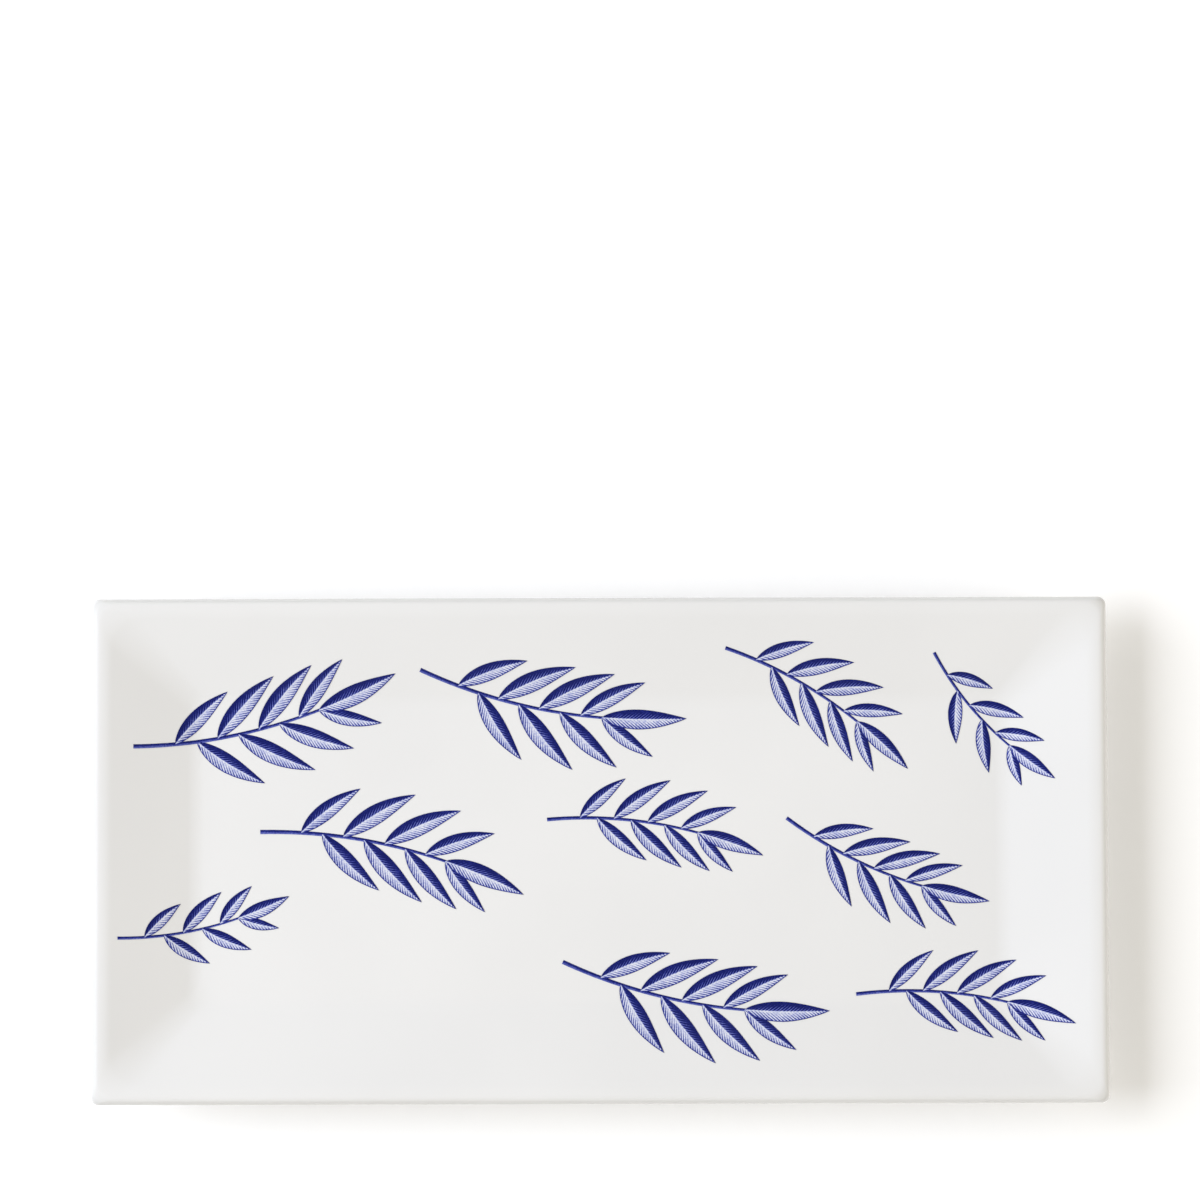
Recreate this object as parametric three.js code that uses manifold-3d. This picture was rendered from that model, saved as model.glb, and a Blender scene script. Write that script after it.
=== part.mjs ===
// Rectangular porcelain serving tray with sprigs of leaves printed on it in cobalt blue.
// Millimetres, +Z up. The origin lies on the table, under the middle of the tray.

import * as THREE from "three";
import { mergeVertices } from "three/addons/utils/BufferGeometryUtils.js";
import Module from "manifold-3d";

const { clamp, degToRad, lerp } = THREE.MathUtils;

// Plan of the tray
const trayLength = 356;
const trayWidth = 177;
const slopeWidth = 36;
const rimCornerRadius = 3;
const slopeCornerRadius = 10;
const wellCornerRadius = 5;

// Section of the tray
const floorThickness = 5;
const wallThickness = 5.8;
const slopePitch = degToRad(16.5);
const creaseRadius = 22;
const crownRadius = 15;
const lipRadius = 3;
const lipUnderRadius = 1.1;

// Foot ring: how far it stands inside the crease under the slope, and how far each wall leans in
const footHeight = 6;
const footSetback = 8;
const footWidth = 6.5;
const footDraft = 0.6;
const footRootRadius = 2.5;
const footToeRadius = 1.2;

// Printed transfers: a thin film just over the glaze, kept clear of the rolled rim
const transferThickness = 0.2;
const transferGap = 0.1;
const printMargin = 7.5;

// Sprigs on the transfers: alternate leaves up a bowed stem, and one leaf at its end
const largeSprig = { stemLength: 72, leafLength: 30, leafWidth: 7, stemWidth: 1.5, leafCount: 8 };
const mediumSprig = { stemLength: 58, leafLength: 24.5, leafWidth: 5.7, stemWidth: 1.3, leafCount: 8 };
const smallSprig = { stemLength: 46, leafLength: 19.5, leafWidth: 5.2, stemWidth: 1.1, leafCount: 6 };
const stemBow = degToRad(22);
const lowLeafAngle = degToRad(50);
const highLeafAngle = degToRad(40);
const leafCurl = degToRad(16);

// Shares that shape a sprig: where its leaves start and stop on the stem, the shortest leaf's part of
// the full length, the stem's narrowing, and the powers that set a leaf's widest place and full sides
const lowestLeafShare = 0.2;
const highestLeafShare = 0.92;
const shortestLeafShare = 0.68;
const stemTaper = 0.4;
const leafWidestPower = 0.8;
const leafFullnessPower = 0.9;

// Where each sprig's middle lies, as shares of the half length and half width, with its heading in degrees
const sprigPlaces = [
  { kind: largeSprig, along: -0.66, across: 0.56, heading: 12, bow: 1 },
  { kind: largeSprig, along: -0.41, across: -0.05, heading: -10, bow: -1 },
  { kind: smallSprig, along: -0.78, across: -0.26, heading: 10, bow: 1 },
  { kind: largeSprig, along: -0.09, across: 0.62, heading: -14, bow: 1 },
  { kind: mediumSprig, along: 0.11, across: 0.05, heading: -6, bow: -1 },
  { kind: mediumSprig, along: 0.43, across: 0.56, heading: -30, bow: -1 },
  { kind: largeSprig, along: 0.19, across: -0.54, heading: -14, bow: 1 },
  { kind: mediumSprig, along: 0.57, across: -0.04, heading: -26, bow: 1 },
  { kind: smallSprig, along: 0.78, across: 0.53, heading: -50, bow: 1 },
  { kind: mediumSprig, along: 0.72, across: -0.63, heading: -4, bow: -1 },
];

// Facets
const cornerSteps = 6;
const arcStep = degToRad(18);
const fewestArcSteps = 4;
const leafSteps = 7;
const stemSteps = 8;
const samePointDistance = 0.02;

const wasm = await Module();
wasm.setup();

// Section of the tray, as distance in from the rim's edge and height. The slope eases level over a
// broad crown, which runs straight into the lip

const floorTop = footHeight + floorThickness;
const slopeTop = floorTop + slopeWidth * Math.tan(slopePitch);
const crownInset = lipRadius + crownRadius * Math.tan(slopePitch / 2);
const crownStart = lipRadius + crownRadius * Math.sin(slopePitch);
const rimTop = slopeTop - crownInset * Math.tan(slopePitch);
const rimUnder = slopeTop - wallThickness / Math.cos(slopePitch);
const underCrease = (rimUnder - footHeight) / Math.tan(slopePitch);
const footOuter = underCrease + footSetback;
const footInner = footOuter + footWidth;
const middle = trayWidth / 2;

/** Points of an outline without those that repeat the next one. */
function withoutRepeats(outline) {
  return outline.filter((point, i) =>
    point.distanceTo(outline[(i + 1) % outline.length]) > samePointDistance);
}

/** Arcs that round the inner points of an open outline, each by its radius or by what its two sides allow. */
function roundedArcs(outline, radii) {
  const corners = outline.slice(1, -1).map((corner, i) => {
    const back = outline[i].clone().sub(corner).normalize();
    const onward = outline[i + 2].clone().sub(corner).normalize();
    const halfAngle = back.angleTo(onward) / 2;
    return { corner, back, onward, halfAngle, reach: radii[i] / Math.tan(halfAngle) };
  });
  const reachAt = (i) => corners[i - 1]?.reach ?? 0;
  const sideShare = (i) => outline[i].distanceTo(outline[i + 1]) / (reachAt(i) + reachAt(i + 1));
  return corners.map(({ corner, back, onward, halfAngle, reach }, i) => {
    const fitted = reach * Math.min(1, sideShare(i), sideShare(i + 1));
    const start = corner.clone().addScaledVector(back, fitted);
    const inward = back.clone().add(onward).normalize();
    const centre = corner.clone().addScaledVector(inward, fitted / Math.cos(halfAngle));
    const sweep = (Math.PI - 2 * halfAngle) * Math.sign(onward.cross(back));
    const steps = Math.max(fewestArcSteps, Math.ceil(Math.abs(sweep) / arcStep));
    return Array.from({ length: steps + 1 }, (_, step) =>
      start.clone().rotateAround(centre, (sweep * step) / steps));
  });
}

const [creaseArc, ...otherArcs] = roundedArcs(
  [
    new THREE.Vector2(middle, floorTop),
    new THREE.Vector2(slopeWidth, floorTop),
    new THREE.Vector2(crownInset, rimTop),
    new THREE.Vector2(0, rimTop),
    new THREE.Vector2(0, rimUnder),
    new THREE.Vector2(underCrease, footHeight),
    new THREE.Vector2(footOuter, footHeight),
    new THREE.Vector2(footOuter + footDraft, 0),
    new THREE.Vector2(footInner - footDraft, 0),
    new THREE.Vector2(footInner, footHeight),
    new THREE.Vector2(middle, footHeight),
  ],
  [
    creaseRadius, crownRadius, lipRadius, lipUnderRadius, creaseRadius,
    footRootRadius, footToeRadius, footToeRadius, footRootRadius,
  ],
);

// Lofts around the plan

/** Corner radius in plan: it opens out over the rim's crown, and draws in again down the slope. */
function cornerRadiusAt(inset) {
  if (inset < crownStart) {
    return lerp(rimCornerRadius, slopeCornerRadius, inset / crownStart);
  }
  const downSlope = clamp((inset - crownStart) / (slopeWidth - crownStart), 0, 1);
  return lerp(slopeCornerRadius, wellCornerRadius, downSlope);
}

/** Rounded rectangle at a distance in from the rim's edge. */
function planRing(inset, height) {
  const radius = cornerRadiusAt(inset);
  const x = trayLength / 2 - inset - radius;
  const y = trayWidth / 2 - inset - radius;
  const centres = [[x, y], [-x, y], [-x, -y], [x, -y]];
  return centres.flatMap(([centreX, centreY], quarter) =>
    Array.from({ length: cornerSteps + 1 }, (_, step) => {
      const angle = ((quarter + step / cornerSteps) * Math.PI) / 2;
      const ringX = centreX + radius * Math.cos(angle);
      const ringY = centreY + radius * Math.sin(angle);
      return new THREE.Vector3(ringX, ringY, height);
    }));
}

/** Closed skin through the rings of a section that runs out over the top and back in underneath. */
function loft(section) {
  const rings = section.map((point) => planRing(point.x, point.y));
  const ringSize = rings[0].length;
  const lastRing = rings.length - 1;
  const topMiddle = new THREE.Vector3(0, 0, section[0].y);
  const underMiddle = new THREE.Vector3(0, 0, section[lastRing].y);
  const points = [topMiddle, ...rings.flat(), underMiddle];
  const at = (ring, i) => 1 + ring * ringSize + (i % ringSize);
  const triangles = [];
  for (let i = 0; i < ringSize; i += 1) {
    triangles.push(0, at(0, i), at(0, i + 1));
    for (let ring = 0; ring < lastRing; ring += 1) {
      triangles.push(at(ring, i), at(ring + 1, i), at(ring + 1, i + 1));
      triangles.push(at(ring, i), at(ring + 1, i + 1), at(ring, i + 1));
    }
    triangles.push(points.length - 1, at(lastRing, i + 1), at(lastRing, i));
  }
  const geometry = new THREE.BufferGeometry().setFromPoints(points);
  geometry.setIndex(triangles);
  geometry.computeVertexNormals();
  return geometry;
}

// Joining and cutting

/** Solid made from a closed geometry. */
function solidOf(geometry) {
  const bare = new THREE.BufferGeometry();
  bare.setAttribute("position", geometry.getAttribute("position"));
  bare.setIndex(geometry.getIndex());
  const merged = mergeVertices(bare);
  return new wasm.Manifold(new wasm.Mesh({
    numProp: 3,
    vertProperties: Float32Array.from(merged.getAttribute("position").array),
    triVerts: Uint32Array.from(merged.getIndex().array),
  }));
}

/** Geometry of a solid, with flat facets. */
function geometryOf(solid) {
  const { vertProperties, triVerts } = solid.getMesh();
  const shared = new THREE.BufferGeometry();
  shared.setAttribute("position", new THREE.BufferAttribute(vertProperties, 3));
  shared.setIndex(new THREE.BufferAttribute(triVerts, 1));
  const geometry = shared.toNonIndexed();
  geometry.computeVertexNormals();
  return geometry;
}

// Printed sprigs

/** Point at a share of the way along an arc that sets off at a heading and turns evenly. */
function arcPoint({ start, heading, turn, length }, share) {
  const halfTurn = (turn * share) / 2;
  const chord = length * share * (halfTurn ? Math.sin(halfTurn) / halfTurn : 1);
  const towards = heading + halfTurn;
  return start.clone().add(new THREE.Vector2(Math.cos(towards), Math.sin(towards)).multiplyScalar(chord));
}

/** Outline of a brush stroke along an arc, whose half width is a function of the share along it. */
function strokeOutline(arc, halfWidth, steps) {
  const sides = [1, -1].map((side) => Array.from({ length: steps + 1 }, (_, step) => {
    const share = step / steps;
    const across = arc.heading + arc.turn * share + (side * Math.PI) / 2;
    const offset = new THREE.Vector2(Math.cos(across), Math.sin(across)).multiplyScalar(halfWidth(share));
    return arcPoint(arc, share).add(offset);
  }));
  const [left, right] = sides;
  return withoutRepeats([...left, ...right.reverse()]);
}

/** Half the width of a leaf at a share of its length: full near the stalk and drawn out to a point. */
function leafHalfWidth(width, share) {
  const bulge = Math.sin(Math.PI * share ** leafWidestPower);
  return (width / 2) * Math.max(0, bulge) ** leafFullnessPower;
}

/** Share of the full leaf length that a leaf has, by its place up the stem: longest half way up. */
function leafGrowth(share) {
  return shortestLeafShare + (1 - shortestLeafShare) * Math.sin(Math.PI * share);
}

/** Arcs of one sprig whose stem sets off from a point: the stem's own, and then each leaf's. */
function sprigArcs({ kind, heading, bow }, start) {
  const turn = bow * stemBow;
  const stem = { start, heading: degToRad(heading) - turn / 2, turn, length: kind.stemLength };
  const leaves = Array.from({ length: kind.leafCount }, (_, i) => {
    const share = lowestLeafShare + ((highestLeafShare - lowestLeafShare) * i) / (kind.leafCount - 1);
    const side = i % 2 === 0 ? 1 : -1;
    const splay = lowLeafAngle + (highLeafAngle - lowLeafAngle) * share;
    return {
      start: arcPoint(stem, share),
      heading: stem.heading + turn * share + side * splay,
      turn: -side * leafCurl,
      length: kind.leafLength * leafGrowth(share),
    };
  });
  const endLeaf = {
    start: arcPoint(stem, highestLeafShare),
    heading: stem.heading + turn * highestLeafShare,
    turn: (bow * leafCurl) / 2,
    length: kind.leafLength,
  };
  return { stem, leaves: [...leaves, endLeaf] };
}

/** Upright block of an outline, tall enough to pass through the whole tray. */
function cutter(outline) {
  const shape = new THREE.Shape(outline);
  return solidOf(new THREE.ExtrudeGeometry(shape, { depth: 2 * slopeTop, bevelEnabled: false }));
}

/** Film over the whole printable face: it follows the well and slopes at an even height. */
function printedFilm() {
  const edge = new THREE.Vector2(printMargin, slopeTop - printMargin * Math.tan(slopePitch));
  const face = [...creaseArc, edge];
  const raised = (height) => face.map((point) => new THREE.Vector2(point.x, point.y + height));
  return solidOf(loft([...raised(transferGap + transferThickness), ...raised(transferGap).reverse()]));
}

/** One sprig cut out of the printed film. */
function transfer(film, place) {
  const { kind } = place;
  const trial = sprigArcs(place, new THREE.Vector2());
  const halfReach = arcPoint(trial.leaves.at(-1), 1).divideScalar(2);
  const centre = new THREE.Vector2((place.along * trayLength) / 2, (place.across * trayWidth) / 2);
  const { stem, leaves } = sprigArcs(place, centre.sub(halfReach));
  const stemHalfWidth = (share) => (kind.stemWidth / 2) * (1 - stemTaper * share);
  const stemBlock = cutter(strokeOutline(stem, stemHalfWidth, stemSteps));
  const sprig = leaves.reduce((joined, leaf) => {
    const width = (kind.leafWidth * leaf.length) / kind.leafLength;
    return joined.add(cutter(strokeOutline(leaf, (share) => leafHalfWidth(width, share), leafSteps)));
  }, stemBlock);
  return geometryOf(film.intersect(sprig));
}

// The tray and its transfers

function glazedPorcelain() {
  return new THREE.MeshStandardMaterial({ color: 0xf0f0ef, roughness: 0.15, metalness: 0 });
}

function cobaltPrint() {
  return new THREE.MeshStandardMaterial({ color: 0x3a4590, roughness: 0.2, metalness: 0 });
}

function piece(name, geometry, material) {
  const mesh = new THREE.Mesh(geometry, material);
  mesh.name = name;
  return mesh;
}

const tray = new THREE.Group();
const section = withoutRepeats([...creaseArc, ...otherArcs.flat()]);
tray.add(piece("tray_body", loft(section), glazedPorcelain()));
const film = printedFilm();
sprigPlaces.forEach((place, i) => {
  const number = String(i + 1).padStart(2, "0");
  tray.add(piece(`sprig_transfer_${number}`, transfer(film, place), cobaltPrint()));
});

export default tray;
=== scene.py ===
"""White porcelain serving tray with leaf sprigs printed in cobalt.

The script makes the tray's pieces and their finishes, the table it stands on, the light and the camera.
Lengths are in metres and angles in radians, unless a name says otherwise.
"""

from __future__ import annotations

import logging
import math
from collections.abc import Mapping, Sequence
from dataclasses import asdict, dataclass, field
from enum import Enum

import bpy
from mathutils import Matrix, Vector


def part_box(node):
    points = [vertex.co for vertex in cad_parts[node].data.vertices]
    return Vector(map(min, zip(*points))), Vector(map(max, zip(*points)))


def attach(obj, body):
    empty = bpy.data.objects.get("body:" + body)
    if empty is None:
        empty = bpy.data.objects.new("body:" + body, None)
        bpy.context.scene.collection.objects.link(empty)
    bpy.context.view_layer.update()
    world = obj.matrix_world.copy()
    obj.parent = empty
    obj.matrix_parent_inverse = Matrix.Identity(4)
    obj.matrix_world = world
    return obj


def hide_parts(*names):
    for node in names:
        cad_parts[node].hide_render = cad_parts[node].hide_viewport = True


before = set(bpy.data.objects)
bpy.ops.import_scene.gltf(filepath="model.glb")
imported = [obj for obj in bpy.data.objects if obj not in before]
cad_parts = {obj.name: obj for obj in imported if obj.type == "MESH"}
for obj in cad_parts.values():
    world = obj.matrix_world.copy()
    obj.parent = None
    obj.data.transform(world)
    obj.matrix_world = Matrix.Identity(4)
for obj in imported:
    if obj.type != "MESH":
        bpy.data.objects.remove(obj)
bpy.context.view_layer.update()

LOG = logging.getLogger("serving_tray")
MM = 0.001
# Points that lie closer than this are one point.
MERGE_DISTANCE = 0.001 * MM
# Noise seldom leaves this span, so the span is what gets stretched over the values that it drives.
NOISE_LOW = 0.3
NOISE_HIGH = 0.7
MATH = "ShaderNodeMath"
VECTOR = "ShaderNodeVectorMath"
RANGE = "ShaderNodeMapRange"
MIX = "ShaderNodeMix"
SPLIT = "ShaderNodeSeparateXYZ"
JOIN = "ShaderNodeCombineXYZ"
NOISE = "ShaderNodeTexNoise"
BUMP = "ShaderNodeBump"
ATTRIBUTE = "ShaderNodeAttribute"
SHADER = "ShaderNodeBsdfPrincipled"
COORDINATES = "ShaderNodeTexCoord"
MATERIAL_OUTPUT = "ShaderNodeOutputMaterial"
GRID = "GeometryNodeMeshGrid"
NAMED = "GeometryNodeInputNamedAttribute"
STORE = "GeometryNodeStoreNamedAttribute"
SAMPLE = "GeometryNodeSampleIndex"
COUNT = "GeometryNodeAttributeDomainSize"
MERGE = "GeometryNodeMergeByDistance"
FLIP = "GeometryNodeFlipFaces"
REALIZE = "GeometryNodeRealizeInstances"
SET_MATERIAL = "GeometryNodeSetMaterial"
SET_POSITION = "GeometryNodeSetPosition"
POSITION = "GeometryNodeInputPosition"
OBJECT_INFO = "GeometryNodeObjectInfo"
Place = tuple[float, float, float]
Colour = tuple[float, float, float, float]


def linear(hex_colour: str) -> Colour:
    """Turn an sRGB hex colour into the linear colour that a shader takes.

    Args:
        hex_colour: Colour such as "#f0f0ee".

    Returns:
        Linear red, green and blue, and full alpha.
    """
    levels = [int(hex_colour[place:place + 2], 16) / 255 for place in (1, 3, 5)]
    # The numbers are those of the sRGB standard.
    red, green, blue = (
        level / 12.92 if level <= 0.04045 else ((level + 0.055) / 1.055) ** 2.4 for level in levels
    )
    return red, green, blue, 1.0


def add(
    tree: bpy.types.NodeTree,
    kind: str,
    *inputs: object,
    named: Mapping[str, object] | None = None,
    **settings: object,
) -> bpy.types.Node:
    """Add a node with its settings, and set or link its inputs.

    Args:
        tree: Node tree that gets the node.
        kind: Blender's name for the kind of node.
        inputs: Values, nodes or sockets for the inputs in order; None leaves one as it is.
        named: The same for inputs by name.
        settings: The node's own properties.

    Returns:
        The new node.
    """
    node = tree.nodes.new(kind)
    for name, value in settings.items():
        setattr(node, name, value)
    shown = [socket for socket in node.inputs if socket.enabled]
    pairs = list(zip(shown, inputs))
    pairs += [(node.inputs[name], value) for name, value in (named or {}).items()]
    for socket, value in pairs:
        if isinstance(value, bpy.types.Node):
            value = next(output for output in value.outputs if output.enabled)
        if isinstance(value, bpy.types.NodeSocket):
            tree.links.new(value, socket)
        elif value is not None:
            socket.default_value = value
    return node


def new_piece(
    name: str,
    points: Sequence[Sequence[float]],
    edges: Sequence[Sequence[int]] = (),
    faces: Sequence[Sequence[int]] = (),
) -> bpy.types.Object:
    """Make an object in the scene from points.

    Args:
        name: The object's name.
        points: Places of the points.
        edges: Pairs of point numbers.
        faces: Point numbers round each face.

    Returns:
        The new object.
    """
    mesh = bpy.data.meshes.new(name)
    mesh.from_pydata(points, edges, faces)
    piece = bpy.data.objects.new(name, mesh)
    bpy.context.scene.collection.objects.link(piece)
    return piece


def write_field(piece: bpy.types.Object, name: str, vectors: Sequence[Sequence[float]]) -> None:
    """Store one vector for each point of a piece.

    Args:
        piece: Object whose mesh gets the attribute.
        name: The attribute's name.
        vectors: One vector of three for each point.
    """
    attribute = piece.data.attributes.new(name, "FLOAT_VECTOR", "POINT")
    attribute.data.foreach_set("vector", [value for vector in vectors for value in vector])


def grow(piece: bpy.types.Object, tree: bpy.types.NodeTree, sizes: Mapping[str, object]) -> None:
    """Run a geometry tree on a piece and keep the result as its plain mesh.

    Args:
        piece: Object that the tree works on.
        tree: The geometry tree.
        sizes: Values of the tree's named inputs.
    """
    modifier = piece.modifiers.new("grown", "NODES")
    modifier.node_group = tree
    for item in tree.interface.items_tree:
        if item.in_out == "INPUT" and item.name in sizes:
            modifier[item.identifier] = sizes[item.name]
    graph = bpy.context.evaluated_depsgraph_get()
    seed_mesh = piece.data
    grown = bpy.data.meshes.new_from_object(piece.evaluated_get(graph), depsgraph=graph)
    piece.modifiers.remove(modifier)
    piece.data = grown
    grown.name = piece.name
    bpy.data.meshes.remove(seed_mesh)


def new_tree(name: str, inputs: Mapping[str, str]) -> tuple[bpy.types.NodeTree, bpy.types.Node]:
    """Start a geometry tree that takes a geometry and named inputs and gives a geometry.

    Args:
        name: The tree's name.
        inputs: Kind of socket for each named input.

    Returns:
        The tree and its input node.
    """
    tree = bpy.data.node_groups.new(name, "GeometryNodeTree")
    tree.interface.new_socket(name="Start", in_out="INPUT", socket_type="NodeSocketGeometry")
    for label, kind in inputs.items():
        tree.interface.new_socket(name=label, in_out="INPUT", socket_type=f"NodeSocket{kind}")
    tree.interface.new_socket(name="Piece", in_out="OUTPUT", socket_type="NodeSocketGeometry")
    return tree, add(tree, "NodeGroupInput")


def new_material(name: str) -> tuple[bpy.types.Material, bpy.types.NodeTree]:
    """Make a material with an empty node tree.

    Args:
        name: The material's name.

    Returns:
        The material and its tree.
    """
    material = bpy.data.materials.new(name)
    material.use_nodes = True
    material.node_tree.nodes.clear()
    return material, material.node_tree


@dataclass(frozen=True)
class GlazeSkin:
    """Fired clear glaze: glossy, with slow swells where it ran and a faint peel between them."""

    swell: float = 13 * MM
    swell_depth: float = 0.016 * MM
    swell_detail: float = 1.0
    peel: float = 2.2 * MM
    peel_depth: float = 0.0012 * MM
    peel_detail: float = 2.0
    smoothest: float = 0.06
    roughest: float = 0.1
    ior: float = 1.52
    shine: float = 0.5

    def unevenness(
        self,
        tree: bpy.types.NodeTree,
        place: bpy.types.NodeSocket,
    ) -> tuple[bpy.types.Node, bpy.types.Node]:
        """Add the glaze's unevenness to a material.

        Args:
            tree: The material's node tree.
            place: Object coordinates.

        Returns:
            The node for roughness and the node for the bumped normal.
        """
        swells = add(
            tree, NOISE, named={"Vector": place, "Scale": 1 / self.swell, "Detail": self.swell_detail},
        )
        peel = add(tree, NOISE, named={"Vector": place, "Scale": 1 / self.peel, "Detail": self.peel_detail})
        rough = add(tree, RANGE, swells, NOISE_LOW, NOISE_HIGH, self.smoothest, self.roughest)
        swollen = add(tree, BUMP, named={"Distance": self.swell_depth, "Height": swells})
        bumped = add(tree, BUMP, named={"Distance": self.peel_depth, "Height": peel, "Normal": swollen})
        return rough, bumped

    def coat(
        self,
        tree: bpy.types.NodeTree,
        colour: bpy.types.Node,
        roughness: bpy.types.Node,
        normal: bpy.types.Node,
    ) -> None:
        """Add the shader of a glazed surface, and end the material with it.

        Args:
            tree: The material's node tree.
            colour: Node for the colour under the glaze.
            roughness: Node for the roughness.
            normal: Node for the bumped normal.
        """
        shader = add(
            tree, SHADER,
            named={
                "Base Color": colour, "Roughness": roughness, "Normal": normal,
                "IOR": self.ior, "Specular IOR Level": self.shine,
            },
        )
        add(tree, MATERIAL_OUTPUT, shader)


@dataclass(frozen=True)
class GlazedPorcelain:
    """Slip-cast white porcelain under clear glaze.

    It shows as a clean, faintly clouded white with soft gloss, greyed along the edge of the rim by painted
    shade. The toe of the foot is wiped bare before firing: matt, gritty, slightly warm biscuit.
    """

    skin: GlazeSkin = GlazeSkin()
    white: str = "#ebebeb"
    thin_white: str = "#e8e8e8"
    cloud: float = 90 * MM
    cloud_detail: float = 3.0
    cloud_low: float = 0.35
    cloud_high: float = 0.65
    # Painted shade: the white turns to this grey along the rim's edge, fully within the first distance and
    # gone by the second.
    rim_shade_grey: str = "#d8d8d7"
    rim_shade_full_within: float = 0.3 * MM
    rim_shade_gone_at: float = 2.4 * MM
    biscuit: str = "#ded7ca"
    biscuit_dark: str = "#cfc5b5"
    biscuit_roughness: float = 0.8
    grit: float = 0.6 * MM
    grit_depth: float = 0.03 * MM
    grit_detail: float = 3.0
    glaze_line: float = 1.0 * MM
    glaze_line_softness: float = 0.1 * MM
    glaze_line_wander: float = 0.7 * MM
    wander_length: float = 9 * MM

    def glazed_white(self, tree: bpy.types.NodeTree, place: bpy.types.NodeSocket) -> bpy.types.Node:
        """Add the white of the glazed body, with painted shade along the edge of the rim.

        Args:
            tree: The material's node tree.
            place: Object coordinates.

        Returns:
            Node for the colour.
        """
        clouds = add(
            tree, NOISE, named={"Vector": place, "Scale": 1 / self.cloud, "Detail": self.cloud_detail},
        )
        cloudy = add(tree, RANGE, clouds, self.cloud_low, self.cloud_high, 0.0, 1.0)
        white = add(tree, MIX, cloudy, linear(self.white), linear(self.thin_white), data_type="RGBA")
        # Painted shade: grey at the rim's edge, fading to the plain white further in.
        inset = add(tree, ATTRIBUTE, attribute_name="rim_inset").outputs["Fac"]
        rim_shaded = add(tree, RANGE, inset, self.rim_shade_full_within, self.rim_shade_gone_at, 1.0, 0.0)
        return add(tree, MIX, rim_shaded, white, linear(self.rim_shade_grey), data_type="RGBA")

    def glazed_share(self, tree: bpy.types.NodeTree, place: bpy.types.NodeSocket) -> bpy.types.Node:
        """Add the wandering line above the toe at which the glaze begins.

        Args:
            tree: The material's node tree.
            place: Object coordinates.

        Returns:
            Node that gives 0 on the bare toe and 1 on the glaze.
        """
        height = add(tree, SPLIT, place).outputs["Z"]
        wander = add(tree, NOISE, named={"Vector": place, "Scale": 1 / self.wander_length})
        shifted = add(tree, MATH, wander, self.glaze_line_wander, height, operation="MULTIPLY_ADD")
        # On average the noise adds half the wander, so the line is set that much higher.
        line = self.glaze_line + self.glaze_line_wander / 2
        return add(
            tree, RANGE, shifted, line - self.glaze_line_softness, line + self.glaze_line_softness, 0.0, 1.0,
            interpolation_type="SMOOTHSTEP",
        )

    def material(self) -> bpy.types.Material:
        """Build the material.

        Returns:
            Glazed porcelain with a bare biscuit toe.
        """
        material, tree = new_material("glazed_porcelain")
        place = add(tree, COORDINATES).outputs["Object"]
        rough, bumped = self.skin.unevenness(tree, place)
        white = self.glazed_white(tree, place)
        grit = add(tree, NOISE, named={"Vector": place, "Scale": 1 / self.grit, "Detail": self.grit_detail})
        bare = add(tree, MIX, grit, linear(self.biscuit_dark), linear(self.biscuit), data_type="RGBA")
        gritty = add(tree, BUMP, named={"Distance": self.grit_depth, "Height": grit})
        glazed = self.glazed_share(tree, place)
        colour = add(tree, MIX, glazed, bare, white, data_type="RGBA")
        roughness = add(tree, MIX, glazed, self.biscuit_roughness, rough, data_type="FLOAT")
        normal = add(tree, MIX, glazed, gritty, bumped, data_type="VECTOR")
        self.skin.coat(tree, colour, roughness, normal)
        return material


@dataclass(frozen=True)
class ToneRange:
    """How one half of a leaf is engraved.

    The first two are the share of the spacing that a line fills, and the others how much ink lies there.
    """

    beside_rib: float
    margin: float
    between_lines: float
    on_lines: float


@dataclass(frozen=True)
class InkShade:
    """Colour that a given amount of ink, from 0 to 1, fires to."""

    amount: float
    colour: str


class PrintPart(Enum):
    """Part of a sprig that a print finish is for."""

    LEAF = "cobalt_transfer_leaf"
    STEM = "cobalt_transfer_stem"


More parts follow.
